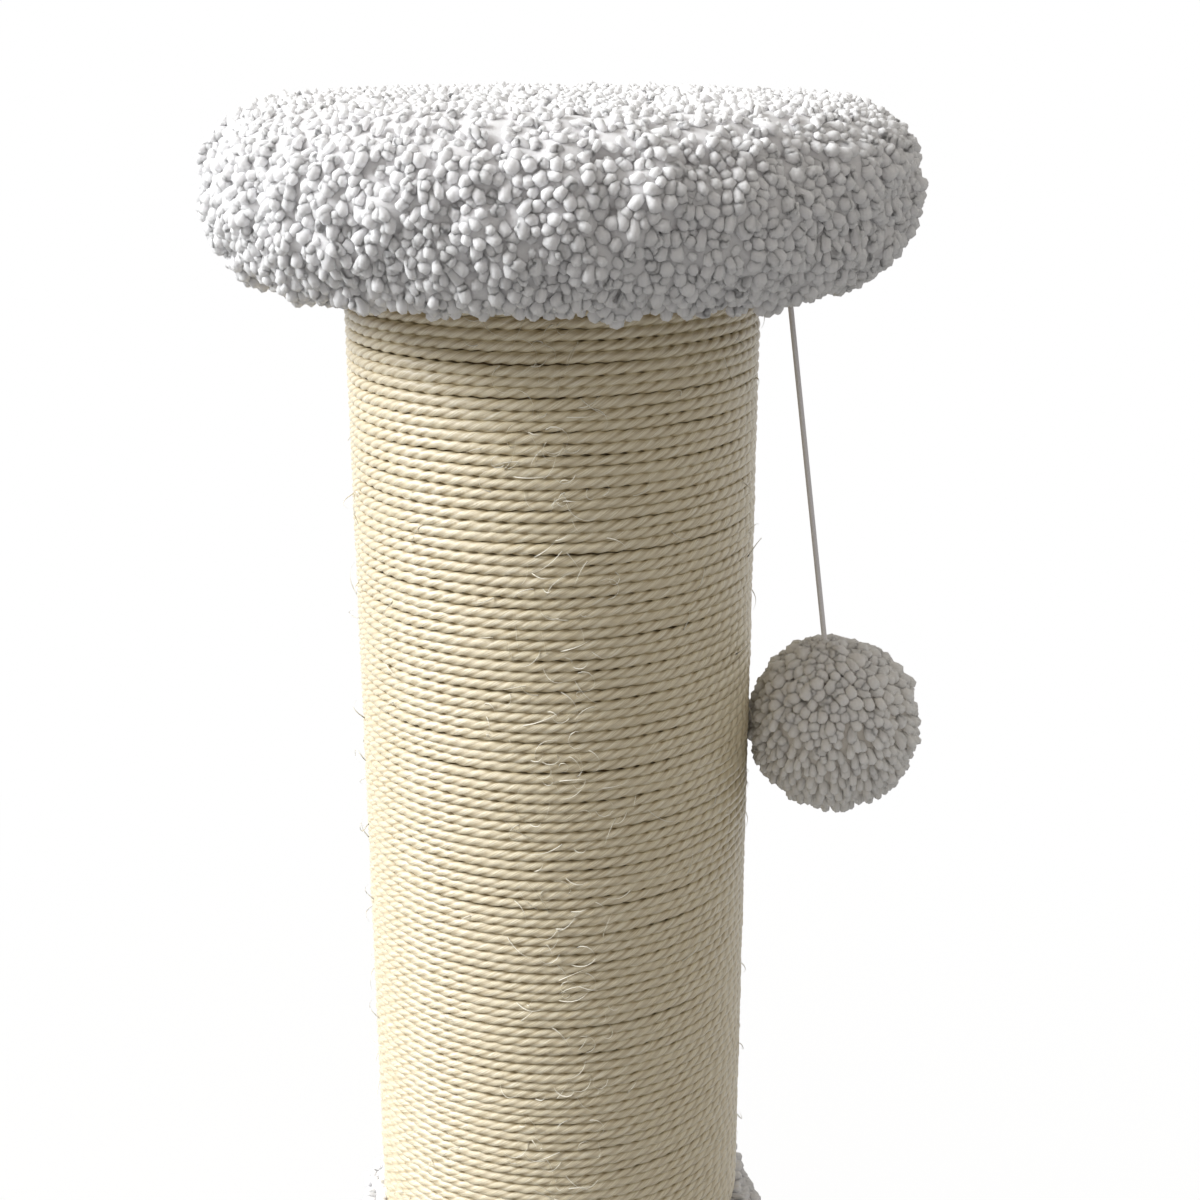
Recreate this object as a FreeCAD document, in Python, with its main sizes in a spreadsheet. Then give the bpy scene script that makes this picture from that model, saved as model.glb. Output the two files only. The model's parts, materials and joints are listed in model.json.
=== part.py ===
"""Cat scratching post with a rope-wound post, a plush base and top, and a pompom on a string.

A paper tube stands between two round boards. Its ends hold wooden plugs, and each plug
holds a tee nut: a bolt through the base and a stud into the top board draw the post tight.
Sisal rope is wound and glued round the tube, and a plush sleeve covers the tube's foot.
Plush covers are drawn over both boards, with their hems flat underneath. A screw eye under
the top board carries the toy: a string loop, its knot, the string and the pompom.

Millimetres, +Z up. The origin is on the floor, on the post's axis; the pompom hangs on +X.
"""
import FreeCAD
import Part
import Sketcher

import math
import os
import re

Vector = FreeCAD.Vector

# Driving sizes, in mm or as counts: (name, value, what it is).
SIZES = [
    ("foot_height", 4.5, "rubber foot, from the floor to the cover"),
    ("foot_radius", 12, "rubber foot"),
    ("foot_edge", 1.5, "bevel of a foot's lower edge"),
    ("foot_circle", 115.5, "radius of the circle that the feet stand on"),
    ("foot_count", 6, "feet"),
    ("base_board_radius", 130.5, "round board in the base"),
    ("base_board_thickness", 15, "round board in the base"),
    ("top_board_radius", 88.5, "round board in the top"),
    ("top_board_thickness", 15, "round board in the top"),
    ("board_edge", 1.5, "bevel of both boards' edges"),
    ("pile_depth", 9.5, "plush cloth with its pile, on both boards"),
    ("hem_thickness", 2, "plush cloth pressed flat under a board"),
    ("base_hem_radius", 100, "inner edge of the base cover's hem"),
    ("base_round", 11, "rounding of the base cover's upper edge, bevel of its lower one"),
    ("lining_thickness", 1, "thin cloth under the base board"),
    ("lining_hole", 20, "hole in that cloth round the bolt's washer"),
    ("top_hem_radius", 72, "inner edge of the top cover's hem"),
    ("top_hem_width", 8, "flat hem of the top cover"),
    ("foam_thickness", 14, "foam pad on the top board"),
    ("foam_bevel", 10, "bevel of the foam pad's upper edge"),
    ("top_round", 23.5, "rounding of the top cover's rim"),
    ("top_crown", 1.5, "rise of the top cover's middle"),
    ("tube_radius", 55, "outside of the paper tube"),
    ("tube_wall", 5, "wall of the paper tube"),
    ("tube_length", 420, "paper tube, board to board"),
    ("plug_thickness", 18, "wooden plug in each end of the tube"),
    ("plug_fit", 0.1, "radial clearance of a plug in the tube"),
    ("rope_thickness", 3, "sisal rope, out from the tube"),
    ("rope_loops", 24, "loops that stand for the rope's turns"),
    ("rope_loop_gap", 0.5, "gap between two loops"),
    ("rope_seat", 0.1, "glue between the tube and the rope"),
    ("rope_end_run", 6, "straight end of the rope"),
    ("rope_end_gap", 0.4, "gap over the sleeve and under the top board"),
    ("rope_crest_width", 5.5, "crest of a loop, between its sloping flanks"),
    ("sleeve_length", 103, "plush sleeve up the post's foot"),
    ("sleeve_pile", 8.2, "plush sleeve, out from the tube"),
    ("sleeve_round", 6, "rounding of the sleeve's upper edge"),
    ("bolt_radius", 4, "base bolt and top stud"),
    ("bolt_length", 40, "base bolt under its head"),
    ("bolt_hole_radius", 4.6, "hole in the base board"),
    ("bolt_head_radius", 8.5, "base bolt's flat head"),
    ("bolt_head_thickness", 2.5, "base bolt's flat head"),
    ("bolt_socket_width", 5, "hexagon socket across its flats"),
    ("bolt_socket_depth", 1.8, "hexagon socket"),
    ("washer_radius", 14, "washer under the base board"),
    ("washer_thickness", 1.4, "washer under the base board"),
    ("nut_barrel_radius", 5, "tee nut's barrel"),
    ("nut_barrel_length", 9, "tee nut's barrel"),
    ("nut_flange_radius", 11, "tee nut's flange"),
    ("nut_flange_thickness", 1.6, "tee nut's flange"),
    ("thread_fit", 0.05, "radial clearance of a bolt or stud in a nut, and a barrel in its hole"),
    ("stud_length", 30, "stud between the tube and the top board"),
    ("eye_clearance", 8.1, "screw eye, out from the rope"),
    ("eye_wire_radius", 0.8, "screw eye's wire"),
    ("eye_ring_radius", 3.4, "screw eye's ring, to the wire's middle"),
    ("eye_shank_radius", 1.1, "screw eye's shank"),
    ("eye_shank_length", 10, "screw eye's shank in the board"),
    ("wire_sides", 8, "flats round the wire of a small ring"),
    ("string_radius", 0.8, "toy's string"),
    ("loop_ring_radius", 2.4, "string loop through the eye, to the string's middle"),
    ("loop_slack", 0.3, "gap between the loop and the eye, and the loop and the knot"),
    ("knot_radius", 1.7, "knot under the loop"),
    ("toy_reach", 132, "from the knot's middle to the pompom's middle"),
    ("pompom_radius", 25.8, "pompom"),
    ("tie_radius", 3, "yarn tie at the pompom's middle"),
    ("tie_height", 5, "yarn tie, along the string"),
    ("soft_gap", 0.3, "clearance of soft pieces round curved faces"),
]

# Radii and heights that follow from the sizes: (name, formula, what it is).
LAYOUT = [
    ("base_board_bottom", "foot_height + hem_thickness", "base board's underside"),
    ("base_board_top", "base_board_bottom + base_board_thickness", "the tube stands here"),
    ("base_cover_top", "base_board_top + pile_depth", "base's top face"),
    ("base_cover_radius", "base_board_radius + pile_depth", "base's side"),
    ("base_cover_inside", "base_board_radius + soft_gap", "inside of the base cover"),
    ("base_side_bottom", "foot_height + base_round", "end of the lower bevel"),
    ("base_side_top", "base_cover_top - base_round", "start of the upper rounding"),
    ("base_flat_radius", "base_cover_radius - base_round", "edge of the base's flat top"),
    ("lining_bottom", "base_board_bottom - lining_thickness", "lining's underside"),
    ("lining_radius", "base_hem_radius - soft_gap", "lining's edge inside the hem"),
    ("tube_bore", "tube_radius - tube_wall", "inside of the tube"),
    ("tube_top", "base_board_top + tube_length", "the top board lies here"),
    ("cover_opening", "tube_radius + soft_gap", "plush round the tube"),
    ("plug_radius", "tube_bore - plug_fit", "plug in the tube"),
    ("plug_hole", "nut_barrel_radius + thread_fit", "hole for a nut's barrel"),
    ("nut_bore", "bolt_radius + thread_fit", "inside of a nut"),
    ("lower_plug_top", "base_board_top + plug_thickness", "lower plug"),
    ("lower_nut_top", "lower_plug_top + nut_flange_thickness", "lower nut's flange"),
    ("lower_nut_end", "lower_plug_top - nut_barrel_length", "end of its barrel"),
    ("upper_plug_bottom", "tube_top - plug_thickness", "upper plug"),
    ("upper_nut_bottom", "upper_plug_bottom - nut_flange_thickness", "upper nut's flange"),
    ("upper_nut_end", "upper_plug_bottom + nut_barrel_length", "end of its barrel"),
    ("washer_bottom", "base_board_bottom - washer_thickness", "washer's underside"),
    ("bolt_head_bottom", "washer_bottom - bolt_head_thickness", "bolt head's underside"),
    ("bolt_top", "washer_bottom + bolt_length", "bolt's end"),
    ("stud_bottom", "tube_top - stud_length / 2", "stud's lower end"),
    ("stud_top", "tube_top + stud_length / 2", "stud's upper end"),
    ("top_board_top", "tube_top + top_board_thickness", "top board"),
    ("board_nut_top", "top_board_top + nut_flange_thickness", "board nut's flange"),
    ("board_nut_end", "top_board_top - nut_barrel_length", "end of its barrel"),
    ("foam_hole", "nut_flange_radius + soft_gap", "foam round the nut's flange"),
    ("foam_hole_top", "board_nut_top + soft_gap", "foam over the nut's flange"),
    ("foam_top", "top_board_top + foam_thickness", "foam pad"),
    ("foam_side_top", "foam_top - foam_bevel", "start of the foam's bevel"),
    ("foam_flat_radius", "top_board_radius - foam_bevel", "edge of the foam's flat top"),
    ("cover_slope_radius", "top_board_radius - foam_bevel / 2", "cover over the foam's edge"),
    ("cover_slope_height", "foam_top - foam_bevel / 2", "cover over the foam's edge"),
    ("top_cover_top", "foam_top + pile_depth", "rim of the top's upper face"),
    ("top_cover_crown", "top_cover_top + top_crown", "middle of the top's upper face"),
    ("top_cover_bottom", "tube_top - pile_depth", "lowest plush of the top"),
    ("top_cover_radius", "top_board_radius + pile_depth", "top's side"),
    ("top_cover_inside", "top_board_radius + soft_gap", "inside of the top cover"),
    ("top_side_bottom", "top_cover_bottom + top_round", "end of the lower rounding"),
    ("top_side_top", "top_cover_top - top_round", "start of the upper rounding"),
    ("top_flat_radius", "top_cover_radius - top_round", "start of both roundings"),
    ("top_crown_radius", "(pow(top_flat_radius; 2) + pow(top_crown; 2)) / (2 * top_crown)",
     "radius of the crowned top face"),
    ("top_hem_bottom", "tube_top - hem_thickness", "top hem's underside"),
    ("top_hem_outside", "top_hem_radius + top_hem_width", "where the pile starts"),
    ("top_pile_start", "top_side_bottom - sqrt(pow(top_round; 2)"
     " - pow(top_hem_outside - top_flat_radius; 2))", "height of the pile there"),
    ("sleeve_top", "base_cover_top + sleeve_length", "sleeve, and the rope's lower end"),
    ("sleeve_radius", "tube_radius + sleeve_pile", "sleeve's side"),
    ("sleeve_side_top", "sleeve_top - sleeve_round", "start of the sleeve's rounding"),
    ("sleeve_flat_radius", "sleeve_radius - sleeve_round", "end of the sleeve's rounding"),
    ("rope_inside", "tube_radius + rope_seat", "rope's seat"),
    ("rope_outside", "rope_inside + rope_thickness", "rope's crest"),
    ("rope_height", "tube_top - sleeve_top - 2 * rope_end_gap", "wound stretch of the post"),
    ("rope_rise", "(rope_height + rope_loop_gap) / (rope_loops + 1)", "rise of one loop"),
    ("rope_loop_width", "rope_rise - rope_loop_gap", "width of one loop"),
    ("eye_offset", "rope_outside + eye_clearance", "screw eye, out from the post's axis"),
    ("eye_ring_height", "tube_top - eye_ring_radius - eye_wire_radius", "eye ring's middle"),
    ("eye_wire_height", "eye_ring_height - eye_ring_radius", "lowest wire of the eye"),
    ("loop_height", "eye_wire_height + eye_wire_radius + string_radius + loop_slack"
     " - loop_ring_radius", "string loop's middle"),
    ("knot_height", "loop_height - loop_ring_radius - string_radius - loop_slack"
     " - knot_radius", "knot's middle"),
    ("pompom_offset", "rope_outside + soft_gap + pompom_radius", "pompom leans on the rope"),
    ("pompom_drop", "sqrt(pow(toy_reach; 2) - pow(pompom_offset - eye_offset; 2))",
     "pompom below the knot"),
    ("pompom_height", "knot_height - pompom_drop", "pompom's middle"),
    ("toy_lean", "asin((pompom_offset - eye_offset) / toy_reach) / 1deg",
     "string's lean from upright, in degrees"),
    ("string_top_offset", "eye_offset + knot_radius * (pompom_offset - eye_offset) / toy_reach",
     "string's upper end"),
    ("string_top_height", "knot_height - knot_radius * pompom_drop / toy_reach",
     "string's upper end"),
    ("string_bore", "string_radius + soft_gap", "string's way into the pompom"),
    ("tie_room_radius", "tie_radius + soft_gap", "tie's room in the pompom"),
    ("tie_room_height", "tie_height + 2 * soft_gap", "tie's room in the pompom"),
    ("string_length", "toy_reach - knot_radius - tie_height / 2 - soft_gap", "string's free length"),
]

doc = FreeCAD.newDocument("scratching_post")
finished = []


def fill_sheet(label, rows):
    """A sheet with one named cell for each row."""
    sheet = doc.addObject("Spreadsheet::Sheet", label)
    for line, (name, content, meaning) in enumerate(rows, start=1):
        sheet.set("A%d" % line, name)
        sheet.set("B%d" % line, content)
        sheet.set("C%d" % line, meaning)
        sheet.setAlias("B%d" % line, name)
    return sheet


def bound(formula, sheet_of):
    """The formula with each named cell led by the sheet that holds it."""

    def led(found):
        word = found.group(0)
        return "%s.%s" % (sheet_of[word], word) if word in sheet_of else word

    return re.sub(r"[a-z_]+", led, formula)


in_sizes = {name: "sizes" for name, size, meaning in SIZES}
sheets = dict(in_sizes)
sheets.update({name: "layout" for name, formula, meaning in LAYOUT})
sizes = fill_sheet("sizes", [(name, str(size), meaning) for name, size, meaning in SIZES])
layout = fill_sheet(
    "layout", [(name, "=" + bound(formula, in_sizes), meaning) for name, formula, meaning in LAYOUT]
)
doc.recompute()


def value(name):
    """The number in a named cell."""
    if name == "0":
        return 0.0
    return float(getattr(sizes if sheets[name] == "sizes" else layout, name))


def bind(item, target, formula):
    """Ties one property of an item to the sheets."""
    item.setExpression(target, bound(formula, sheets))


def finish(item, name):
    """Marks an item as a finished piece and gives it its name."""
    item.Label = name
    finished.append(item)
    return item


# ---- ways of making pieces ----


def arc_between(first, last, radius):
    """The short arc that turns left from first to last."""
    chord = last - first
    middle = (first + last) * 0.5
    rise = math.sqrt(max(radius**2 - chord.Length**2 / 4, 0))
    centre = middle + Vector(-chord.y, chord.x, 0).normalize() * rise
    start = math.atan2(first.y - centre.y, first.x - centre.x)
    end = math.atan2(last.y - centre.y, last.x - centre.x)
    return Part.ArcOfCircle(Part.Circle(centre, Vector(0, 0, 1), radius), start, end)


def tie_corner(sketch, corner, name, direction, axis):
    """Ties a corner's distance from the origin along one axis, or puts it on the other."""
    if name == "0":
        sketch.addConstraint(Sketcher.Constraint("PointOnObject", corner, 1, axis))
    else:
        distance = Sketcher.Constraint(direction, -1, 1, corner, 1, value(name))
        bind(sketch, "Constraints[%d]" % sketch.addConstraint(distance), name)


def outline_sketch(body, corners, arcs):
    """A closed outline in the XZ plane, anticlockwise, with every corner tied to the sheets.

    A corner is (name of its radius, name of its height). arcs gives the name of the
    radius of each side that is an arc, under the number of the corner it starts from.
    """
    plane = [f for f in body.Origin.OriginFeatures if f.Role == "XZ_Plane"][0]
    sketch = body.newObject("Sketcher::SketchObject", body.Name + "_outline")
    sketch.AttachmentSupport = [(plane, "")]
    sketch.MapMode = "FlatFace"
    points = [Vector(value(radius), value(height), 0) for radius, height in corners]
    for i, point in enumerate(points):
        following = points[(i + 1) % len(points)]
        if i in arcs:
            sketch.addGeometry(arc_between(point, following, value(arcs[i])))
        else:
            sketch.addGeometry(Part.LineSegment(point, following))
    for i in range(len(points)):
        following = (i + 1) % len(points)
        sketch.addConstraint(Sketcher.Constraint("Coincident", i, 2, following, 1))
    for i, (radius, height) in enumerate(corners):
        tie_corner(sketch, i, radius, "DistanceX", -2)
        tie_corner(sketch, i, height, "DistanceY", -1)
    for i, radius in arcs.items():
        bend = Sketcher.Constraint("Radius", i, value(radius))
        bind(sketch, "Constraints[%d]" % sketch.addConstraint(bend), radius)
    return sketch


def turned(name, corners, arcs=None):
    """A body turned round the post's axis from an outline."""
    body = doc.addObject("PartDesign::Body", name)
    sketch = outline_sketch(body, corners, arcs or {})
    spin = body.newObject("PartDesign::Revolution", name + "_turned")
    spin.Profile = sketch
    spin.ReferenceAxis = (sketch, ["V_Axis"])
    spin.Angle = 360
    doc.recompute()
    return body


def ring_piece(name, inside, outside, bottom, top):
    """A washer, board, plug or tube: a turned rectangle."""
    return turned(name, [(inside, bottom), (outside, bottom), (outside, top), (inside, top)])


def bevel_edges(body, radius, heights, edge):
    """Bevels a body's circular edges that have this radius and one of these heights."""
    base = body.Tip
    levels = [value(height) for height in heights]
    chosen = []
    for number, side in enumerate(base.Shape.Edges, start=1):
        if not isinstance(side.Curve, Part.Circle):
            continue
        at_level = any(abs(side.Curve.Center.z - level) < 0.001 for level in levels)
        if at_level and abs(side.Curve.Radius - value(radius)) < 0.001:
            chosen.append("Edge%d" % number)
    bevel = body.newObject("PartDesign::Chamfer", body.Name + "_edges")
    bevel.Base = (base, chosen)
    bind(bevel, "Size", edge)
    doc.recompute()
    return body


def cut(name, base, *tools):
    """The base with one or more items cut out of it."""
    for number, tool in enumerate(tools, start=1):
        made = doc.addObject("Part::Cut", "%s_cut_%d" % (name, number))
        made.Base = base
        made.Tool = tool
        base = made
    doc.recompute()
    return base


def primitive(kind, name, sizes_of, offset="0", height="0", tilt=None):
    """A primitive with bound sizes, in the XZ plane, turned about Y by a bound angle."""
    item = doc.addObject("Part::" + kind, name)
    for target, formula in sizes_of.items():
        bind(item, target, formula)
    if offset != "0":
        bind(item, "Placement.Base.x", offset)
    if height != "0":
        bind(item, "Placement.Base.z", height)
    if tilt is not None:
        item.Placement.Rotation = FreeCAD.Rotation(Vector(0, 1, 0), 1)
        bind(item, "Placement.Rotation.Angle", tilt)
    return item


# ---- base ----

foot = turned(
    "foot_pattern",
    [("0", "0"), ("foot_radius", "0"), ("foot_radius", "foot_height"), ("0", "foot_height")],
)
bevel_edges(foot, "foot_radius", ["0"], "foot_edge")
feet = []
for number in range(int(value("foot_count"))):
    copy = foot.Shape.copy()
    copy.translate(Vector(value("foot_circle"), 0, 0))
    copy.rotate(Vector(), Vector(0, 0, 1), 360 * number / value("foot_count"))
    feet.append(copy)
foot_ring = doc.addObject("Part::Feature", "foot_ring")
foot_ring.Shape = Part.makeCompound(feet)
finish(foot_ring, "base_feet")

base_board = ring_piece(
    "base_board", "bolt_hole_radius", "base_board_radius", "base_board_bottom", "base_board_top"
)
bevel_edges(base_board, "base_board_radius", ["base_board_bottom", "base_board_top"], "board_edge")
finish(base_board, "base_board")

base_plush = turned(
    "base_cover",
    [
        ("base_hem_radius", "foot_height"),
        ("base_flat_radius", "foot_height"),
        ("base_cover_radius", "base_side_bottom"),
        ("base_cover_radius", "base_side_top"),
        ("base_flat_radius", "base_cover_top"),
        ("cover_opening", "base_cover_top"),
        ("cover_opening", "base_board_top"),
        ("base_cover_inside", "base_board_top"),
        ("base_cover_inside", "base_board_bottom"),
        ("base_hem_radius", "base_board_bottom"),
    ],
    {3: "base_round"},
)
finish(base_plush, "base_cover")

finish(
    ring_piece("base_lining", "lining_hole", "lining_radius", "lining_bottom", "base_board_bottom"),
    "base_lining",
)
finish(
    ring_piece(
        "base_washer", "bolt_hole_radius", "washer_radius", "washer_bottom", "base_board_bottom"
    ),
    "base_washer",
)

bolt_blank = turned(
    "base_bolt_blank",
    [
        ("0", "bolt_head_bottom"),
        ("bolt_head_radius", "bolt_head_bottom"),
        ("bolt_head_radius", "washer_bottom"),
        ("bolt_radius", "washer_bottom"),
        ("bolt_radius", "bolt_top"),
        ("0", "bolt_top"),
    ],
)
socket = primitive(
    "Prism",
    "bolt_socket",
    {"Circumradius": "bolt_socket_width / sqrt(3)", "Height": "bolt_socket_depth"},
    height="bolt_head_bottom",
)
finish(cut("base_bolt", bolt_blank, socket), "base_bolt")

# ---- post ----

finish(
    ring_piece("post_tube", "tube_bore", "tube_radius", "base_board_top", "tube_top"), "post_tube"
)
finish(
    ring_piece("lower_plug", "plug_hole", "plug_radius", "base_board_top", "lower_plug_top"),
    "lower_plug",
)
finish(
    ring_piece("upper_plug", "plug_hole", "plug_radius", "upper_plug_bottom", "tube_top"),
    "upper_plug",
)


def tee_nut(name, flange_face, plug_face, barrel_end):
    """A tee nut: a flange against a face and a barrel in the hole behind it."""
    corners = [
        ("nut_bore", barrel_end),
        ("nut_barrel_radius", barrel_end),
        ("nut_barrel_radius", plug_face),
        ("nut_flange_radius", plug_face),
        ("nut_flange_radius", flange_face),
        ("nut_bore", flange_face),
    ]
    if value(barrel_end) > value(flange_face):
        corners.reverse()
    return finish(turned(name, corners), name)


tee_nut("lower_tee_nut", "lower_nut_top", "lower_plug_top", "lower_nut_end")
tee_nut("upper_tee_nut", "upper_nut_bottom", "upper_plug_bottom", "upper_nut_end")
tee_nut("top_board_tee_nut", "board_nut_top", "top_board_top", "board_nut_end")
finish(
    turned(
        "top_stud",
        [("0", "stud_bottom"), ("bolt_radius", "stud_bottom"), ("bolt_radius", "stud_top"),
         ("0", "stud_top")],
    ),
    "top_stud",
)

finish(
    turned(
        "plush_sleeve",
        [
            ("cover_opening", "base_cover_top"),
            ("sleeve_radius", "base_cover_top"),
            ("sleeve_radius", "sleeve_side_top"),
            ("sleeve_flat_radius", "sleeve_top"),
            ("cover_opening", "sleeve_top"),
        ],
        {2: "sleeve_round"},
    ),
    "plush_sleeve",
)

# ---- rope ----


def helix_point(turn, radius, rise, start):
    """The place on the rope's line after some turns."""
    angle = 2 * math.pi * turn
    return Vector(radius * math.cos(angle), radius * math.sin(angle), start + rise * turn)


def helix_tangent(turn, radius, rise):
    """The rope's direction there."""
    angle = 2 * math.pi * turn
    along = 2 * math.pi * radius
    return Vector(-along * math.sin(angle), along * math.cos(angle), rise).normalize()


def arc_from_tangents(first, corner, last):
    """The arc from first to last whose tangents meet at the corner."""
    middle = (first + last) * 0.5
    half = (last - first).Length / 2
    turn = math.acos(half / (corner - first).Length)
    outward = (corner - middle).normalize()
    return Part.Arc(first, middle + outward * half * math.tan(turn / 2), last).toShape()


def biarc(start, start_way, end, end_way):
    """Two arcs that join smoothly, with the tangents given at both ends."""
    chord = end - start
    both = start_way + end_way
    square = both.dot(both) - 4
    linear = -2 * chord.dot(both)
    root = math.sqrt(linear**2 - 4 * square * chord.dot(chord))
    reach = (-linear - root) / (2 * square)
    if reach < 0:
        reach = (-linear + root) / (2 * square)
    first_corner = start + start_way * reach
    last_corner = end - end_way * reach
    join = (first_corner + last_corner) * 0.5
    return [
        arc_from_tangents(start, first_corner, join),
        arc_from_tangents(join, last_corner, end),
    ]


def rope_line(radius, rise, start, loops, end_run):
    """The rope's line: a straight end, biarcs of half a turn, and a straight end."""
    steps = 2 * loops
    places = [helix_point(i / 2, radius, rise, start) for i in range(steps + 1)]
    ways = [helix_tangent(i / 2, radius, rise) for i in range(steps + 1)]
    edges = [Part.LineSegment(places[0] - ways[0] * end_run, places[0]).toShape()]
    for i in range(steps):
        edges += biarc(places[i], ways[i], places[i + 1], ways[i + 1])
    edges.append(Part.LineSegment(places[-1], places[-1] + ways[-1] * end_run).toShape())
    return Part.Wire(edges)


def rope_section(line):
    """A loop's section at the line's start: its seat, two sloping flanks and its crest."""
    inside = value("rope_inside")
    outside = value("rope_outside")
    edge = value("rope_loop_width") / 2
    crest = value("rope_crest_width") / 2
    outline = [(inside, -edge), (outside, -crest), (outside, crest), (inside, edge)]
    start = line.Edges[0].Vertexes[0].Point
    middle = inside + value("rope_thickness") / 2
    corners = [start + Vector(out - middle, 0, up) for out, up in outline]
    return Part.makePolygon(corners + corners[:1])


def wind(line, section):
    """The section carried along the line, kept upright all the way."""
    shell = Part.BRepOffsetAPI.MakePipeShell(line)
    shell.setBiNormalMode(Vector(0, 0, 1))
    shell.add(section, False, False)
    shell.build()
    shell.makeSolid()
    return shell.shape()


def least_loop_gap(line_radius):
    """The least distance between one loop's edge and the next loop's, by points."""
    rise = value("rope_rise")
    width = value("rope_loop_width")
    least = rise
    for i in range(73):
        upper = helix_point(1 + i / 72, line_radius, rise, -width / 2)
        for j in range(-20, 21):
            lower = helix_point(i / 72 + j / 2000, line_radius, rise, width / 2)
            least = min(least, (upper - lower).Length)
    return least


rope_radius = value("rope_inside") + value("rope_thickness") / 2
rope_start = value("sleeve_top") + value("rope_end_gap") + value("rope_loop_width") / 2
rope_path = rope_line(
    rope_radius, value("rope_rise"), rope_start, int(value("rope_loops")), value("rope_end_run")
)
rope = doc.addObject("Part::Feature", "sisal_rope")
rope.Shape = wind(rope_path, rope_section(rope_path))
finish(rope, "sisal_rope")
section_area = Part.Face(rope_section(rope_path)).Area
print("rope: volume %.0f, section times length %.0f, least gap between loops %.2f" % (
    rope.Shape.Volume, section_area * rope_path.Length, least_loop_gap(rope_radius)))

# ---- top ----

foam = turned(
    "top_foam_pad",
    [
        ("foam_hole", "top_board_top"),
        ("top_board_radius", "top_board_top"),
        ("top_board_radius", "foam_side_top"),
        ("foam_flat_radius", "foam_top"),
        ("0", "foam_top"),
        ("0", "foam_hole_top"),
        ("foam_hole", "foam_hole_top"),
    ],
)
finish(foam, "top_foam_pad")

top_plush = turned(
    "top_cover",
    [
        ("top_hem_radius", "top_hem_bottom"),
        ("top_hem_outside", "top_hem_bottom"),
        ("top_hem_outside", "top_pile_start"),
        ("top_cover_radius", "top_side_bottom"),
        ("top_cover_radius", "top_side_top"),
        ("top_flat_radius", "top_cover_top"),
        ("0", "top_cover_crown"),
        ("0", "foam_top"),
        ("cover_slope_radius", "foam_top"),
        ("top_cover_inside", "cover_slope_height"),
        ("top_cover_inside", "tube_top"),
        ("top_hem_radius", "tube_top"),
    ],
    {2: "top_round", 4: "top_round", 5: "top_crown_radius"},
)
finish(top_plush, "top_cover")

# ---- toy ----


def wire_ring(name, ring_radius, wire_radius, axis, height):
    """A closed ring of round wire, hung at the eye's place, turned about an axis."""
    ring = value(ring_radius)
    wire = value(wire_radius)
    sides = int(value("wire_sides"))
    turns = [2 * math.pi * (i + 0.5) / sides for i in range(sides)]
    rim = [Vector(ring + wire * math.cos(t), 0, wire * math.sin(t)) for t in turns]
    shape = Part.Face(Part.makePolygon(rim + rim[:1])).revolve(Vector(), Vector(0, 0, 1), 360)
    item = doc.addObject("Part::Feature", name)
    item.Shape = shape
    place = Vector(value("eye_offset"), 0, value(height))
    item.Placement = FreeCAD.Placement(place, FreeCAD.Rotation(Vector(0, 0, 1), axis))
    return item


eye_ring = wire_ring(
    "eye_ring", "eye_ring_radius", "eye_wire_radius", Vector(0, 1, 0), "eye_ring_height"
)
eye_shank = primitive(
    "Cylinder",
    "eye_shank",
    {"Radius": "eye_shank_radius", "Height": "eye_shank_length + eye_wire_radius"},
    "eye_offset",
    "tube_top - eye_wire_radius",
)
eye = doc.addObject("Part::Fuse", "eye_fused")
eye.Base = eye_ring
eye.Tool = eye_shank
finish(eye, "string_eye")

top_blank = ring_piece(
    "top_board_blank", "plug_hole", "top_board_radius", "tube_top", "top_board_top"
)
bevel_edges(top_blank, "top_board_radius", ["tube_top", "top_board_top"], "board_edge")
finish(cut("top_board", top_blank, eye), "top_board")

loop = wire_ring("string_loop", "loop_ring_radius", "string_radius", Vector(1, 0, 0), "loop_height")
finish(loop, "toy_loop")
knot = primitive("Sphere", "string_knot", {"Radius": "knot_radius"}, "eye_offset", "knot_height")
finish(knot, "toy_knot")
string = primitive(
    "Cylinder",
    "string_line",
    {"Radius": "string_radius", "Height": "string_length"},
    "string_top_offset",
    "string_top_height",
    "180 - toy_lean",
)
finish(string, "toy_string")

ball = primitive("Sphere", "pompom_ball", {"Radius": "pompom_radius"})
ball_bore = primitive(
    "Cylinder", "pompom_bore", {"Radius": "string_bore", "Height": "2 * pompom_radius"}
)
tie_room = primitive(
    "Cylinder",
    "pompom_room",
    {"Radius": "tie_room_radius", "Height": "tie_room_height"},
    height="-tie_room_height / 2",
)
pompom = cut("pompom", ball, ball_bore, tie_room)
pompom.Placement.Rotation = FreeCAD.Rotation(Vector(0, 1, 0), 1)
bind(pompom, "Placement.Base.x", "pompom_offset")
bind(pompom, "Placement.Base.z", "pompom_height")
bind(pompom, "Placement.Rotation.Angle", "-toy_lean")
finish(pompom, "pompom")

tie = primitive(
    "Cylinder",
    "tie_barrel",
    {"Radius": "tie_radius", "Height": "tie_height"},
    "pompom_offset + tie_height / 2 * (pompom_offset - eye_offset) / toy_reach",
    "pompom_height - tie_height / 2 * pompom_drop / toy_reach",
    "-toy_lean",
)
finish(tie, "pompom_tie")

# ---- check and write ----

doc.recompute()
for item in doc.Objects:
    if {"Invalid", "Error"} & set(item.State):
        raise RuntimeError("%s failed: %s" % (item.Label, item.State))
for item in finished:
    shape = item.Shape
    if shape.isNull() or not shape.isValid() or shape.Volume <= 0:
        raise RuntimeError("%s has no valid shape" % item.Label)

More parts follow.
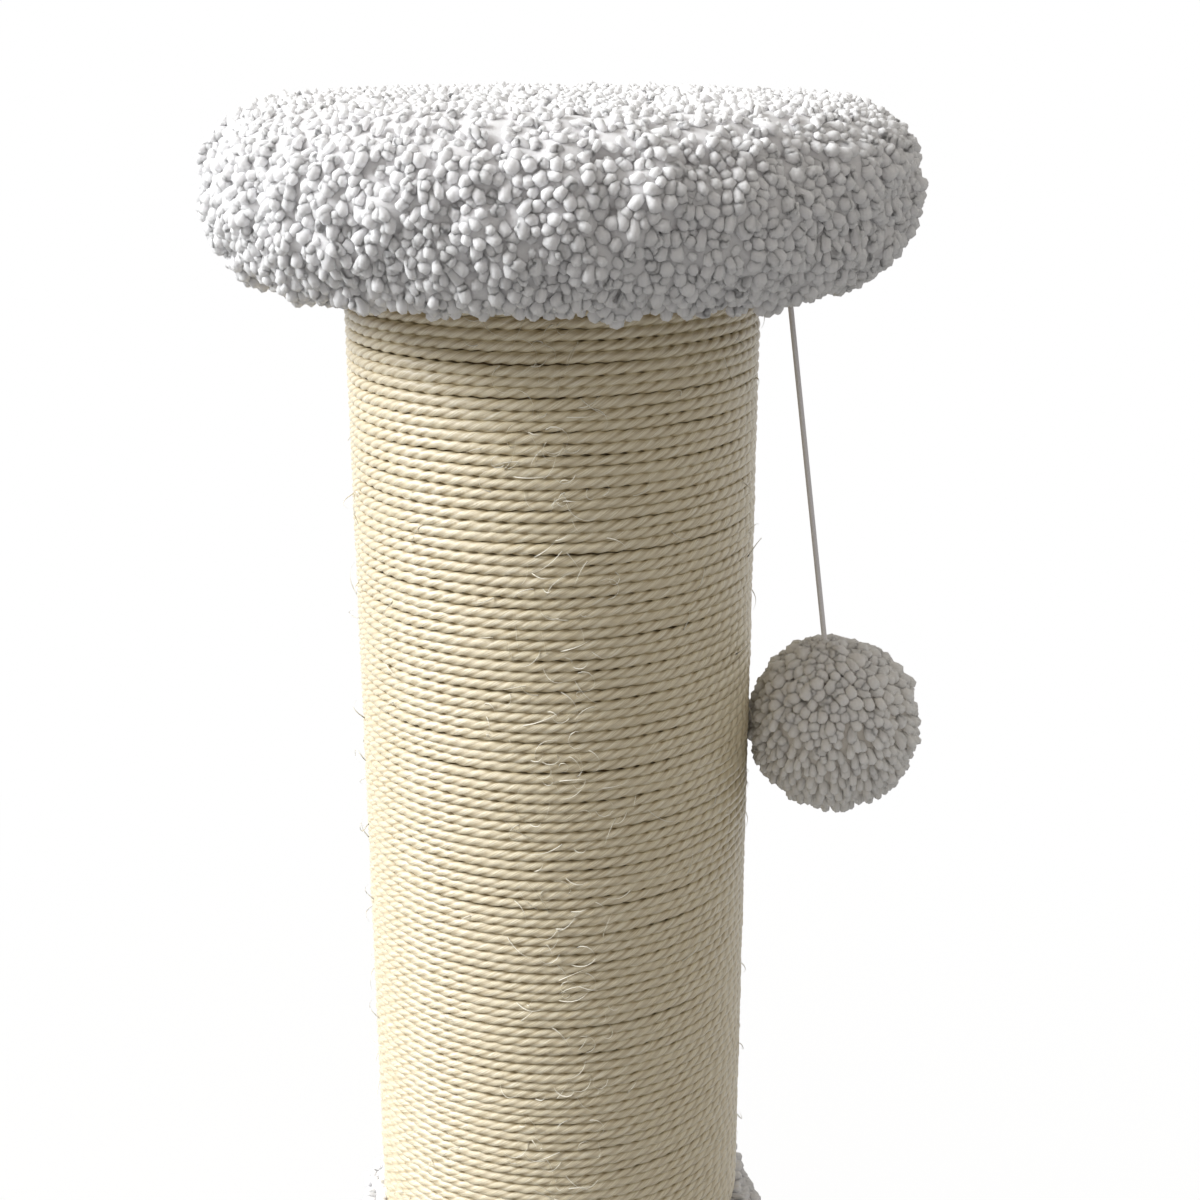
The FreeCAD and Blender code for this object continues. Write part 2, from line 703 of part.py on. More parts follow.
os.makedirs("parts", exist_ok=True)
for item in finished:
    item.Shape.exportStep("parts/%s.step" % item.Label)
    print("%-22s %2d solids %10.1f mm3" % (item.Label, len(item.Shape.Solids), item.Shape.Volume))
for name in ("tube_top", "top_cover_bottom", "top_cover_crown", "rope_rise", "eye_wire_height",
             "knot_height", "pompom_offset", "pompom_height", "toy_lean", "string_length"):
    print("%s %.3f" % (name, value(name)))
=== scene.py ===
"""Looks of the cat scratching post: sisal rope, curly plush, and a pompom on a string."""

import json
import math

import bpy
import numpy as np
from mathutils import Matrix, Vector
from mathutils.kdtree import KDTree


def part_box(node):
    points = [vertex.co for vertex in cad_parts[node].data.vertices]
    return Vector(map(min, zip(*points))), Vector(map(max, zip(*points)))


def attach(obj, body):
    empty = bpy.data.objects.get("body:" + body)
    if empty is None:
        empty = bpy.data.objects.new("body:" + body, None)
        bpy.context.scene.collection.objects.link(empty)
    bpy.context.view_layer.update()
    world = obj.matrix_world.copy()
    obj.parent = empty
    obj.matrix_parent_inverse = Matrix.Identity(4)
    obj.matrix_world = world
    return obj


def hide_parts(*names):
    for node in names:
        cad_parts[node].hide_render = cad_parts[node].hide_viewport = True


MM = 0.001
UP = np.array([0, 0, 1.0])

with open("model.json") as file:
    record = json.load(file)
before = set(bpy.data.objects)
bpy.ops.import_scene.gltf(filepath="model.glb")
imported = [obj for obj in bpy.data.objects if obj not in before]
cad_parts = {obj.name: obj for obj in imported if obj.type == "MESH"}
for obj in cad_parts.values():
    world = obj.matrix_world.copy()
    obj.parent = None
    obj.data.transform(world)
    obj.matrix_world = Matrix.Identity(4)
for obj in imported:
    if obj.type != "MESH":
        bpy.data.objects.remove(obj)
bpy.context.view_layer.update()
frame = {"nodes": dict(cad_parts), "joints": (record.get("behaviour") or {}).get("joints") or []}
nodes = frame["nodes"]
joints = {joint["name"]: joint for joint in frame["joints"]}


# ---- camera and light ----

CAMERA_REACH = 562 * MM
CAMERA_AIM_HEIGHT = 308.4 * MM
CAMERA_ASIDE = 13.3 * MM
CAMERA_PITCH = math.radians(19.9)
CAMERA_LENS = 55.8
CAMERA_SHIFT = 0.075
CAMERA_NEAREST = 10 * MM

KEY_LIGHT = 4.3
KEY_COLOUR = (0.97, 0.985, 1.0)
KEY_HEIGHT = math.radians(33)
KEY_FRONT = math.radians(8)
KEY_SOFTNESS = math.radians(28)
SURROUND_LIGHT = 0.45
SURROUND_COLOUR = (1, 0.955, 0.89, 1)
WHITE = (1, 1, 1, 1)


def set_camera():
    """The camera looks slightly down at the post's upper half from the front."""
    camera = bpy.data.objects.new("camera", bpy.data.cameras.new("camera"))
    camera.data.lens = CAMERA_LENS
    camera.data.shift_y = CAMERA_SHIFT
    camera.data.clip_start = CAMERA_NEAREST
    camera.location = (
        CAMERA_ASIDE,
        -CAMERA_REACH * math.cos(CAMERA_PITCH),
        CAMERA_AIM_HEIGHT + CAMERA_REACH * math.sin(CAMERA_PITCH),
    )
    camera.rotation_euler = (math.pi / 2 - CAMERA_PITCH, 0, 0)
    bpy.context.scene.collection.objects.link(camera)
    bpy.context.scene.camera = camera


def set_lights():
    """A broad lamp high on the left, in a pale room that the camera sees as plain white."""
    key = bpy.data.objects.new("key_light", bpy.data.lights.new("key_light", "SUN"))
    key.data.energy = KEY_LIGHT
    key.data.color = KEY_COLOUR
    key.data.angle = KEY_SOFTNESS
    towards = Vector(
        (
            math.cos(KEY_HEIGHT) * math.cos(KEY_FRONT),
            math.cos(KEY_HEIGHT) * math.sin(KEY_FRONT),
            -math.sin(KEY_HEIGHT),
        )
    )
    key.rotation_euler = towards.to_track_quat("-Z", "Y").to_euler()
    bpy.context.scene.collection.objects.link(key)

    world = bpy.data.worlds.new("white_room")
    world.use_nodes = True
    room = ShaderNodes(world.node_tree)
    seen = room.seen()
    room.put(
        room.tree.nodes["Background"],
        {
            "Strength": SURROUND_LIGHT + (1 - SURROUND_LIGHT) * seen,
            "Color": room.mix(seen, SURROUND_COLOUR, WHITE),
        },
    )
    bpy.context.scene.world = world
    bpy.context.scene.view_settings.view_transform = "Standard"


# ---- ways of making materials ----

# A Mix node's inputs for a factor and two colours.
MIX_FACTOR, MIX_FIRST, MIX_SECOND = 0, 6, 7


class Socket:
    """An output of a node. Sums and products of it add Math nodes."""

    def __init__(self, owner, output):
        self.owner = owner
        self.output = output

    def maths(self, operation, first, second):
        """What a Math node makes of two values."""
        values = {0: first, 1: second}
        return self.owner.node("ShaderNodeMath", {"operation": operation}, values)["Value"]

    def __add__(self, other):
        return self.maths("ADD", self, other)

    def __radd__(self, other):
        return self.maths("ADD", other, self)

    def __mul__(self, other):
        return self.maths("MULTIPLY", self, other)

    def __rmul__(self, other):
        return self.maths("MULTIPLY", other, self)


class ShaderNodes:
    """The nodes of a material or of the world."""

    def __init__(self, tree):
        self.tree = tree

    def put(self, node, values):
        """Links sockets to a node's inputs, or sets numbers and colours on them."""
        for name, value in values.items():
            if isinstance(value, Socket):
                self.tree.links.new(value.output, node.inputs[name])
            else:
                node.inputs[name].default_value = value

    def node(self, kind, settings=None, values=None):
        """Adds a node and returns its outputs by name."""
        made = self.tree.nodes.new(kind)
        for name, value in (settings or {}).items():
            if name == "stops":
                ramp_stops(made.color_ramp, value)
            else:
                setattr(made, name, value)
        self.put(made, values or {})
        return {output.name: Socket(self, output) for output in made.outputs if output.enabled}

    def mix(self, factor, first, second):
        """A colour between two colours."""
        values = {MIX_FACTOR: factor, MIX_FIRST: first, MIX_SECOND: second}
        return self.node("ShaderNodeMix", {"data_type": "RGBA"}, values)["Result"]

    def seen(self):
        """1 for rays that show the surroundings, and 0 for rays that light the object."""
        rays = self.node("ShaderNodeLightPath")
        shown = rays["Is Camera Ray"]
        for kind in ("Is Glossy Ray", "Is Transmission Ray"):
            shown = shown.maths("MAXIMUM", shown, rays[kind])
        return shown


class Paint(ShaderNodes):
    """A material with one Principled shader."""

    def __init__(self, name, roughness, **constants):
        self.material = bpy.data.materials.new(name)
        self.material.use_nodes = True
        super().__init__(self.material.node_tree)
        self.shader = self.tree.nodes["Principled BSDF"]
        self.put(self.shader, {"Roughness": roughness})
        self.put(self.shader, constants)

    def place(self):
        """The place on the object, in metres."""
        return self.node("ShaderNodeTexCoord")["Object"]

    def attribute(self, name):
        """A number stored on the mesh."""
        return self.node("ShaderNodeAttribute", {"attribute_name": name})["Fac"]

    def noise(self, vector, scale, detail=2.0, roughness=0.5):
        """Soft noise from 0 to 1 with this many features in a metre."""
        values = {"Vector": vector, "Scale": scale, "Detail": detail, "Roughness": roughness}
        return self.node("ShaderNodeTexNoise", None, values)["Fac"]

    def cells(self, vector, scale):
        """Uneven cells, this many in a metre: each one's colour, and the way to its middle."""
        values = {"Vector": vector, "Scale": scale}
        return self.node("ShaderNodeTexVoronoi", {"feature": "F1"}, values)

    def stretched(self, vector, factors, turn=(0, 0, 0)):
        """A vector turned and scaled along its axes."""
        values = {"Vector": vector, "Scale": factors, "Rotation": turn}
        return self.node("ShaderNodeMapping", None, values)["Vector"]

    def ramp(self, value, stops):
        """A colour from a number, by stops of (place, colour)."""
        return self.node("ShaderNodeValToRGB", {"stops": stops}, {"Fac": value})["Color"]

    def bumped(self, height, distance, strength=1.0):
        """Raises the surface by a height from 0 to 1 times a distance."""
        values = {"Height": height, "Distance": distance, "Strength": strength}
        normal = self.node("ShaderNodeBump", None, values)["Normal"]
        self.put(self.shader, {"Normal": normal})

    def coloured(self, colour):
        """Sets what the surface's colour is, and returns the material."""
        self.put(self.shader, {"Base Color": colour})
        return self.material


def ramp_stops(ramp, stops):
    """Gives a colour ramp its stops."""
    while len(ramp.elements) < len(stops):
        ramp.elements.new(0.5)
    for element, (place, colour) in zip(ramp.elements, stops):
        element.position = place
        element.color = colour


def rgb(red, green, blue):
    """A colour as it looks on a screen, from 0 to 255, as a shader's linear colour."""
    parts = [part / 255 for part in (red, green, blue)]
    linear = [p / 12.92 if p <= 0.04045 else ((p + 0.055) / 1.055) ** 2.4 for p in parts]
    return (*linear, 1)


# ---- materials ----

FIBRE_DEPTH = 3 * MM

FLOOR_SHADOW_REACH = 0.15
FLOOR_WHITE_FROM = 0.75
FLOOR_NEAR_GLOW = 0.7


def soft_fibre(through, sheen):
    """What the shader needs for white fibre that lets light through and shines at its edge."""
    return {
        "Subsurface Weight": through,
        "Subsurface Scale": FIBRE_DEPTH,
        "Subsurface Radius": (1, 1, 1),
        "Sheen Weight": sheen,
        "Sheen Roughness": 0.6,
    }


def plush_paint():
    """White curly pile: bright tips over roots darkened by painted shade, with a fine fibre
    grain.
    """
    paint = Paint("plush", roughness=0.9, **soft_fibre(through=0.9, sheen=0.25))
    place = paint.place()
    # Painted shade: the stored number darkens the curls' roots and the ground between them, where
    # shade falls.
    shade = paint.mix(paint.attribute("tip"), rgb(224, 222, 222), rgb(246, 246, 248))
    patches = paint.noise(place, scale=60)
    paint.bumped(paint.noise(place, scale=2600, detail=3), distance=0.25 * MM, strength=0.6)
    return paint.coloured(paint.mix(patches * 0.2, shade, rgb(228, 227, 229)))


def cloth_paint():
    """The knitted back of the plush, under its curls."""
    paint = Paint("plush_cloth", roughness=0.95)
    weave = paint.noise(paint.place(), scale=1800)
    paint.bumped(weave, distance=0.2 * MM)
    return paint.coloured(paint.mix(weave, rgb(196, 194, 194), rgb(222, 221, 221)))


def yarn_paint():
    """The pompom's cut yarn, slightly warmer than the plush, with painted shade at the tufts'
    roots.
    """
    paint = Paint("pompom_yarn", roughness=0.9, **soft_fibre(through=0.8, sheen=0.2))
    place = paint.place()
    # Painted shade: the stored number darkens the tufts' roots and the core beneath them.
    shade = paint.mix(paint.attribute("tip"), rgb(226, 219, 208), rgb(252, 251, 249))
    patches = paint.noise(place, scale=90)
    paint.bumped(paint.noise(place, scale=2400, detail=3), distance=0.3 * MM, strength=0.6)
    return paint.coloured(paint.mix(patches * 0.3, shade, rgb(236, 231, 224)))


def sisal_paint():
    """Cream sisal: long glossy fibres along each strand, with painted shade between the strands.
    """
    gloss = {"Specular IOR Level": 1.0, "Coat Weight": 0.6, "Coat Roughness": 0.35}
    paint = Paint("sisal", roughness=0.4, **gloss)
    along = paint.node("ShaderNodeUVMap", {"uv_map": "strand"})["UV"]
    place = paint.place()
    fibres = paint.noise(
        paint.stretched(along, (160, 2600, 1)), scale=1, detail=3, roughness=0.6
    )
    patches = paint.noise(paint.stretched(along, (1, 12, 1)), scale=60)
    straw = paint.ramp(
        fibres,
        [(0.3, rgb(200, 183, 144)), (0.5, rgb(234, 223, 193)), (0.7, rgb(252, 247, 230))],
    )
    aged = paint.mix(patches * 0.6, straw, rgb(204, 186, 146))
    paint.put(paint.shader, {"Roughness": 0.26 + 0.28 * fibres})
    grain = fibres + 0.4 * paint.noise(place, scale=3000)
    paint.bumped(grain, distance=0.3 * MM, strength=0.9)
    # Painted shade: the grooves between the strands take a darker brown.
    return paint.coloured(paint.mix(paint.attribute("crest"), rgb(178, 157, 114), aged))


def hair_paint():
    """Single loose sisal fibres."""
    paint = Paint("sisal_hair", roughness=0.5)
    patches = paint.noise(paint.place(), scale=150)
    return paint.coloured(paint.mix(patches, rgb(244, 238, 218), rgb(254, 252, 244)))


def string_paint():
    """A smooth woven cord: slanting threads with a soft gloss."""
    paint = Paint("string", roughness=0.55)
    slanted = paint.stretched(paint.place(), (1, 1, 0.6), turn=(0, math.radians(38), 0))
    threads = paint.noise(slanted, scale=2400)
    paint.bumped(threads, distance=0.1 * MM, strength=0.7)
    return paint.coloured(paint.mix(threads, rgb(222, 219, 221), rgb(246, 245, 247)))


def zinc_paint():
    """Zinc-plated steel with a faint blue spangle."""
    paint = Paint("zinc_steel", roughness=0.35, Metallic=1.0)
    place = paint.place()
    spangle = paint.noise(place, scale=420, detail=3)
    paint.put(paint.shader, {"Roughness": 0.28 + 0.2 * spangle})
    paint.bumped(paint.noise(place, scale=2500), distance=0.02 * MM)
    return paint.coloured(paint.mix(spangle, rgb(176, 180, 188), rgb(208, 210, 214)))


def rubber_paint():
    """Black rubber, dusty where it has stood."""
    paint = Paint("rubber", roughness=0.75)
    place = paint.place()
    dust = paint.noise(place, scale=220, detail=4)
    paint.bumped(paint.noise(place, scale=2200), distance=0.08 * MM)
    return paint.coloured(paint.mix(dust * 0.5, rgb(24, 24, 25), rgb(72, 70, 68)))


def board_paint():
    """Particle board: pressed flakes of light and brown wood."""
    paint = Paint("particle_board", roughness=0.8)
    place = paint.place()
    flakes = paint.cells(place, scale=420)["Color"]
    grains = paint.node("ShaderNodeSeparateColor", None, {"Color": flakes})["Red"]
    wood = paint.ramp(
        grains,
        [(0.0, rgb(132, 98, 62)), (0.45, rgb(190, 154, 108)), (1.0, rgb(222, 194, 150))],
    )
    paint.bumped(grains + paint.noise(place, scale=1500), distance=0.12 * MM)
    patches = paint.noise(place, scale=30)
    return paint.coloured(paint.mix(patches * 0.3, wood, rgb(170, 138, 96)))


def paper_paint():
    """Brown wound paper with a fibrous grain."""
    paint = Paint("paper_tube", roughness=0.85)
    fibres = paint.noise(paint.stretched(paint.place(), (1, 1, 6)), scale=320, detail=4)
    paint.bumped(fibres, distance=0.08 * MM)
    return paint.coloured(paint.mix(fibres, rgb(146, 116, 82), rgb(186, 156, 118)))


def foam_paint():
    """Open-cell foam, cream, with small pores whose pits are painted darker as shade."""
    paint = Paint("foam", roughness=0.9)
    pores = paint.cells(paint.place(), scale=900)["Distance"]
    paint.bumped(pores, distance=0.4 * MM)
    # Painted shade: each pore is darker towards its middle, where it is deepest.
    return paint.coloured(paint.mix(pores, rgb(206, 196, 160), rgb(242, 236, 212)))


def lining_paint():
    """Black non-woven cloth with pressed dots."""
    paint = Paint("lining", roughness=0.9)
    place = paint.place()
    dots = paint.cells(place, scale=600)["Distance"]
    fibres = paint.noise(place, scale=1400, detail=3)
    paint.bumped(dots + fibres, distance=0.15 * MM)
    return paint.coloured(paint.mix(fibres, rgb(26, 26, 28), rgb(62, 62, 66)))


def floor_paint():
    """A white floor that keeps the object's shadow near it and fades to plain white.

    It throws less light up at the object than it seems to.
    """
    paint = Paint("floor", roughness=0.9)
    seen = paint.seen()
    reach = paint.node("ShaderNodeVectorMath", {"operation": "LENGTH"}, {0: paint.place()})
    glow = paint.node(
        "ShaderNodeMapRange",
        {"interpolation_type": "SMOOTHSTEP"},
        {
            "Value": reach["Value"],
            "From Min": FLOOR_SHADOW_REACH,
            "From Max": FLOOR_WHITE_FROM,
            "To Min": FLOOR_NEAR_GLOW,
            "To Max": 1.0,
        },
    )["Result"]
    paint.coloured(paint.mix(seen, rgb(130, 130, 130), rgb(236, 236, 236)))
    shaded = Socket(paint, paint.shader.outputs["BSDF"])
    white = paint.node("ShaderNodeEmission")["Emission"]
    blend = paint.node("ShaderNodeMixShader", None, {"Fac": glow * seen, 1: shaded, 2: white})
    paint.put(paint.tree.nodes["Material Output"], {"Surface": blend["Shader"]})
    return paint.material


PLUSH = plush_paint()
CLOTH = cloth_paint()
STRING = string_paint()
ZINC = zinc_paint()


# ---- ways of making pieces ----

# How far apart the rows of a triangular pattern are, as a share of its spacing.
ROW_SHARE = 0.87
# How far a place may stray from its pattern, as a share of the spacing.
STRAY = 0.32


def deselect_all():
    """Nothing is selected after this."""
    if bpy.context.object and bpy.context.object.mode != "OBJECT":
        bpy.ops.object.mode_set(mode="OBJECT")
    bpy.ops.object.select_all(action="DESELECT")


def select_only(chosen):
    """Selects these objects alone, the first of them active."""
    deselect_all()
    for made in chosen:
        made.select_set(True)
    bpy.context.view_layer.objects.active = chosen[0]


def piece(made, name, material, body):
    """Names a mesh object, gives it its material and slot, and lets it ride on its body."""
    made.name = name
    made.data.name = name
    made.data.materials.clear()
    made.data.materials.append(material)
    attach(made, body)
    return made


def select_where(made, test):
    """Selects, in edit mode, the vertices whose place passes a test."""
    bpy.ops.object.mode_set(mode="OBJECT")
    for polygon in made.data.polygons:
        polygon.select = False
    for edge in made.data.edges:
        edge.select = False
    for vertex in made.data.vertices:
        vertex.select = bool(test(vertex.co))
    bpy.ops.object.mode_set(mode="EDIT")


def spun(name, outline, steps, thickness=0.0):
    """A shell or solid spun round the post's axis from points of (radius, height)."""
    # The plane only starts the object. The outline takes its mesh's place.
    deselect_all()
    bpy.ops.mesh.primitive_plane_add(size=0.01)
    made = bpy.context.object
    made.name = name
    mesh = bpy.data.meshes.new(name)
    points = [(radius, 0, height) for radius, height in outline]
    mesh.from_pydata(points, [(i, i + 1) for i in range(len(points) - 1)], [])
    made.data = mesh
    bpy.ops.object.mode_set(mode="EDIT")
    bpy.ops.mesh.select_all(action="SELECT")
    bpy.ops.mesh.spin(steps=steps, angle=2 * math.pi, center=(0, 0, 0), axis=(0, 0, 1))
    bpy.ops.mesh.select_all(action="SELECT")
    bpy.ops.mesh.remove_doubles(threshold=0.01 * MM)
    bpy.ops.mesh.normals_make_consistent(inside=False)
    bpy.ops.object.mode_set(mode="OBJECT")
    if thickness:
        shell = made.modifiers.new("cloth", "SOLIDIFY")
        shell.thickness = thickness
        shell.offset = -1
        bpy.ops.object.modifier_apply(modifier=shell.name)
    bpy.ops.object.shade_smooth()
    return made


def cord_through(name, kind, points, radius, resolution):
    """A round cord along a spline of this kind."""
    curve = bpy.data.curves.new(name, "CURVE")
    curve.dimensions = "3D"
    curve.bevel_depth = radius
    curve.bevel_resolution = resolution
    spline = curve.splines.new(kind)
    spline.points.add(len(points) - 1)
    for control, point in zip(spline.points, points):
        control.co = (*point, 1)
    made = bpy.data.objects.new(name, curve)
    bpy.context.scene.collection.objects.link(made)
    return made


def arc(centre, radius, first, last, count=12):
    """Points of an arc in the (radius, height) plane, between two angles in degrees."""
    turns = np.radians(np.linspace(first, last, count))
    return [(centre[0] + radius * math.cos(t), centre[1] + radius * math.sin(t)) for t in turns]


def round_about(turns):
    """Unit vectors that point out from the post's axis at these angles."""
    return np.stack([np.cos(turns), np.sin(turns), 0 * turns], 1)


def evenly(outline, step):
    """An outline's points at even steps, with the unit direction of travel at each."""
    line = np.array(outline, float)
    runs = np.linalg.norm(np.diff(line, axis=0), axis=1)
    reach = np.concatenate([[0], np.cumsum(runs)])
    stations = np.linspace(0, reach[-1], max(2, int(round(reach[-1] / step))))
    radius = np.interp(stations, reach, line[:, 0])
    height = np.interp(stations, reach, line[:, 1])
    way = np.stack([np.gradient(radius), np.gradient(height)], 1)
    return radius, height, way / np.linalg.norm(way, axis=1)[:, None]


def scattered(outline, spacing, random):
    """Places spread evenly over a surface of revolution, with its normal and its way down."""
    places, normals, downs = [], [], []
    for radius, height, way in zip(*evenly(outline, spacing * ROW_SHARE)):
        count = max(1, int(round(2 * math.pi * radius / spacing)))
        turns = (np.arange(count) + random.uniform(0, 1)) * 2 * math.pi / count
        turns += random.uniform(-STRAY, STRAY, count) * spacing / max(radius, spacing)
        slide = random.uniform(-STRAY, STRAY, count) * spacing
        out = round_about(turns)
        reach = radius + slide * way[0]
        places.append(out * reach[:, None] + UP * (height + slide * way[1])[:, None])
        normals.append(-out * way[1] + UP * way[0])
        downs.append(out * way[0] + UP * way[1])
    return np.concatenate(places), np.concatenate(normals), np.concatenate(downs)


def unit(vectors):
    """The vectors with a length of 1."""
    return vectors / np.maximum(np.linalg.norm(vectors, axis=1), 1e-9)[:, None]


def repeated(name, pattern, places, axes, sizes):
    """One mesh with a copy of the pattern at each place, along its own three axes."""
    corners = np.array([vertex.co for vertex in pattern.vertices])
    loops = np.array([loop.vertex_index for loop in pattern.loops])
    starts = np.array([polygon.loop_start for polygon in pattern.polygons])
    count = len(places)
    spread = (corners[None] * sizes[:, None, :]) @ axes + places[:, None]
    mesh = bpy.data.meshes.new(name)
    mesh.vertices.add(count * len(corners))
    mesh.vertices.foreach_set("co", spread.ravel())
    mesh.loops.add(count * len(loops))
    shift = np.arange(count)[:, None]
    mesh.loops.foreach_set("vertex_index", (loops + shift * len(corners)).ravel())
    mesh.polygons.add(count * len(starts))
    mesh.polygons.foreach_set("loop_start", (starts + shift * len(loops)).ravel())
    mesh.polygons.foreach_set("use_smooth", np.ones(count * len(starts), bool))
    mesh.update(calc_edges=True)
    made = bpy.data.objects.new(name, mesh)
    bpy.context.scene.collection.objects.link(made)
    return made


def stored(made, name, numbers):
    """Stores a number for each point of a piece, for its material to read."""
    layer = made.data.attributes.new(name, "FLOAT", "POINT")
    layer.data.foreach_set("value", np.asarray(numbers, np.float32))


def grid_mesh(name, points, numbers=None, uv=None):
    """A mesh from closed rings of points, with named numbers and a map for each point."""
    rings, around = points.shape[:2]
    mesh = bpy.data.meshes.new(name)
    mesh.vertices.add(rings * around)
    mesh.vertices.foreach_set("co", points.ravel())
    ring, column = np.meshgrid(np.arange(rings - 1), np.arange(around), indexing="ij")
    following = (column + 1) % around
    corners = np.stack(
        [
            ring * around + column,
            ring * around + following,
            (ring + 1) * around + following,
            (ring + 1) * around + column,
        ],
        -1,
    ).reshape(-1, 4)
    mesh.loops.add(corners.size)
    mesh.loops.foreach_set("vertex_index", corners.ravel())
    mesh.polygons.add(len(corners))
    mesh.polygons.foreach_set("loop_start", np.arange(len(corners)) * 4)
    mesh.polygons.foreach_set("use_smooth", np.ones(len(corners), bool))
    mesh.update(calc_edges=True)
    if uv is not None:
        layer = mesh.uv_layers.new(name="strand")
        layer.data.foreach_set("uv", uv.reshape(-1, 2)[corners.ravel()].ravel())
    made = bpy.data.objects.new(name, mesh)
    for label, values in (numbers or {}).items():
        stored(made, label, values.ravel())
    bpy.context.scene.collection.objects.link(made)
    return made


# ---- plush ----

CLUMP_SPACING = 11 * MM
CLUMP_REACHES = (0.55, 0.78)
CLUMP_RISE = 5 * MM
CLUMP_RISES = (0.45, 1.0)
CLUMPS_NEAR = 5

PILE_INSET = 2.6 * MM
PILE_STEP = 1.5 * MM
# The painted shade on the ground between the curls, as a share of the way to the tips' colour.
GROUND_PAINTED_SHADE = 0.4
FURROW_WIDTH = 3 * MM
# How much less the clumps rise, and how much smaller the curls are, where the pile lies flat.
LAID_LESS_RISE = 0.6
LAID_SMALLER = 0.4

LOCK_SPACING = 3.1 * MM
SIDE_SPACING = 3.4 * MM
LOCK_LENGTH = 7 * MM
LOCK_LENGTHS = (0.8, 1.15)
LOCK_WIDTH = 4.3 * MM
LOCK_WIDTHS = (0.7, 1.1)
LOCK_FLATNESS = 0.82
LOCK_PROUD = 1.5 * MM
LOCK_PROUDS = (0.5, 1.4)
# The share of the tip's brightness that painted shade leaves at a curl's root.
LOCK_ROOT_PAINTED_SHADE = 0.25
LOCK_SHADES = (0.8, 1.0)
# Where a curl heads: out of the surface, away from its clump's middle, down and anyhow.
STOOD_OUT, STOOD_AWAY, STOOD_DOWN, STOOD_LOOSE = 0.62, 0.75, 0.45, 0.25
LAID_OUT, LAID_LOOSE = 0.38, 0.6
TIP_SHIFT = 1.5 * MM
TIP_DOWN = 0.8


def clumps(outline, random):
    """Round clumps of pile over a surface: where each is, how wide and how tall."""
    centres = scattered(outline, CLUMP_SPACING, random)[0]
    reach = CLUMP_SPACING * random.uniform(*CLUMP_REACHES, len(centres))
    return centres, reach, CLUMP_RISE * random.uniform(*CLUMP_RISES, len(centres))


def swollen(points, centres, reach, tall):
    """How high the clumps raise each point, and its way out from its clump's middle."""
    tree = KDTree(len(centres))
    for number, centre in enumerate(centres):
        tree.insert(centre, number)
    tree.balance()
    near = np.array(
        [[found[1] for found in tree.find_n(point, CLUMPS_NEAR)] for point in points]
    )
    steps = points[:, None] - centres[near]
    share = np.sum(steps**2, -1) / reach[near] ** 2
    domes = tall[near] * np.sqrt(np.clip(1 - share, 0, 1))
    rows, first = np.arange(len(points)), np.argmax(domes, axis=1)
    own = near[rows, first]
    return domes[rows, first], steps[rows, first] / reach[own][:, None]


def lock_pattern():
    """One curl of pile, 1 long: a slimmer root and a blunt tip, bent to one side."""
    bend = 0.08
    deselect_all()
    bpy.ops.mesh.primitive_uv_sphere_add(segments=6, ring_count=5, radius=0.5)
    made = bpy.context.object
    bpy.ops.object.mode_set(mode="EDIT")
    bpy.ops.mesh.select_all(action="SELECT")
    bpy.ops.transform.translate(value=(0, 0, 0.5))
    select_where(made, lambda place: place.z < 0.4)
    bpy.ops.transform.resize(value=(0.8, 0.8, 1), center_override=(0, 0, 0.3))
    select_where(made, lambda place: place.z > 0.6)
    bpy.ops.transform.translate(value=(bend, 0, 0))
    select_where(made, lambda place: 0.85 < place.z < 0.95)
    bpy.ops.transform.resize(value=(1.35, 1.35, 1), center_override=(bend, 0, 0.9))
    bpy.ops.object.mode_set(mode="OBJECT")
    mesh = made.data.copy()
    bpy.data.objects.remove(made)
    return mesh


def locks_at(name, tips, along, lengths, widths, random):
    """Curls whose tips are at these places, which run back from them, with painted shade towards
    their roots.
    """
    pattern = lock_pattern()
    side = unit(np.cross(along, random.normal(0, 1, along.shape)))
    axes = np.stack([side, np.cross(along, side), along], 1)
    sizes = np.stack([widths, widths * LOCK_FLATNESS, lengths], 1)
    made = repeated(name, pattern, tips - along * lengths[:, None], axes, sizes)
    # Painted shade: each curl is stored darker towards its root, where shade falls between the
    # curls.
    rise = np.array([vertex.co.z for vertex in pattern.vertices])
    shade = LOCK_ROOT_PAINTED_SHADE + (1 - LOCK_ROOT_PAINTED_SHADE) * rise
    own = random.uniform(*LOCK_SHADES, len(tips))
    stored(made, "tip", np.clip(own[:, None] * shade, 0, 1).ravel())
    return made


